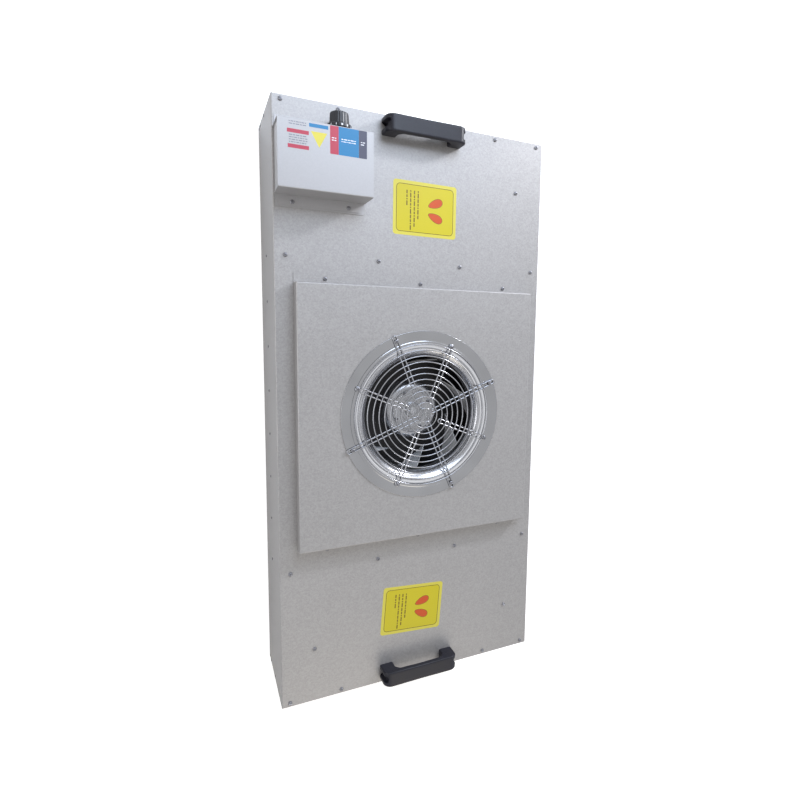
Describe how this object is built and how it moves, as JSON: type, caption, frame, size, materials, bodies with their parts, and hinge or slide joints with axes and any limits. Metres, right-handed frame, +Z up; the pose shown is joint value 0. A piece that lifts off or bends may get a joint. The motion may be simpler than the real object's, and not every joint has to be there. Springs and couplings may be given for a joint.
{
  "type": "fan filter unit",
  "caption": "Ceiling fan filter unit: folded sheet casing, guarded bell-mouth inlet with impeller, pleated filter below, control box and two lifting handles.",
  "frame": {"origin": "centre of the bottom rim, in the plane that rests on the ceiling grid", "axes": "+Z up, from the filter face to the fan inlet; +Y along the length, towards the end with the control box; +X across, away from the control box side"},
  "size_m": [0.5778, 1.175, 0.26],
  "materials": {
    "galvanised_sheet": "hot-dip coated sheet with a fine spangle, satin",
    "control_box_sheet": "satin light grey coated sheet",
    "spun_steel": "spun sheet, glossy with fine turning rings",
    "guard_wire": "bright zinc plated wire",
    "zinc_fastener": "bright zinc plated",
    "rivet_aluminium": "bright aluminium",
    "handle_plastic": "black, satin",
    "knob_plastic": "black, satin",
    "turned_steel": "turned and ground",
    "rotor_silver": "die-cast, satin silver",
    "lamination_steel": "stacked laminations, dark",
    "winding_copper": "enamelled copper",
    "blade_aluminium": "bent sheet, satin",
    "impeller_black": "black powder coat",
    "filter_aluminium": "extruded, satin",
    "filter_paper": "pleated glass-fibre paper, white",
    "face_guard_white": "white powder coat",
    "seal_rubber": "black, matt",
    "foam_charcoal": "open-cell foam, charcoal",
    "controller_plastic": "dark grey, matt",
    "capacitor_can": "drawn can, satin"
  },
  "bodies": {
    "casing": {"acoustic_foam": "foam_charcoal", "bearing_lower": "turned_steel", "bearing_upper": "turned_steel", "capacitor_clip": "galvanised_sheet", "casing_shell": "galvanised_sheet", "chamber_end_control_end": "galvanised_sheet", "chamber_end_far_end": "galvanised_sheet", "clamp_bolts": "zinc_fastener", "clamp_brackets": "galvanised_sheet", "control_box_cover": "control_box_sheet", "control_box_foot": "control_box_sheet", "control_box_screws": "zinc_fastener", "controller_nut": "zinc_fastener", "end_baffle_control_end": "galvanised_sheet", "end_baffle_far_end": "galvanised_sheet", "end_plate_control_end": "galvanised_sheet", "end_plate_far_end": "galvanised_sheet", "face_guard": "face_guard_white", "fan_box": "galvanised_sheet", "fan_box_screws": "zinc_fastener", "fan_deck": "galvanised_sheet", "filter_frame": "filter_aluminium", "filter_media": "filter_paper", "filter_seal": "seal_rubber", "guard_screws": "zinc_fastener", "handle_control_end": "handle_plastic", "handle_far_end": "handle_plastic", "handle_screws": "zinc_fastener", "inlet_nozzle": "spun_steel", "mains_grommet": "seal_rubber", "run_capacitor": "capacitor_can", "side_rivets": "rivet_aluminium", "speed_controller": "controller_plastic", "stator_core": "lamination_steel", "stator_flange": "rotor_silver", "stator_screws": "zinc_fastener", "stator_winding": "winding_copper", "terminal_block": "controller_plastic", "top_screws": "zinc_fastener", "wire_grommet": "seal_rubber", "wire_guard": "guard_wire"},
    "impeller": {"rotor_can": "rotor_silver", "rotor_screws": "zinc_fastener", "motor_shaft": "turned_steel", "impeller_back_plate": "impeller_black", "impeller_blades": "blade_aluminium", "impeller_shroud": "impeller_black"},
    "speed_knob": {"speed_knob": "knob_plastic", "knob_shaft": "turned_steel"}
  },
  "joints": [
    {"name": "impeller_spin", "type": "hinge", "parent": "casing", "child": "impeller", "pos_m": [0, 0, 0.12], "axis": [0, 0, 1], "continuous": true},
    {"name": "speed_knob_turn", "type": "hinge", "parent": "casing", "child": "speed_knob", "pos_m": [-0.173, 0.54, 0.23], "axis": [0, 1, 0], "range_deg": [0, 270]}
  ]
}
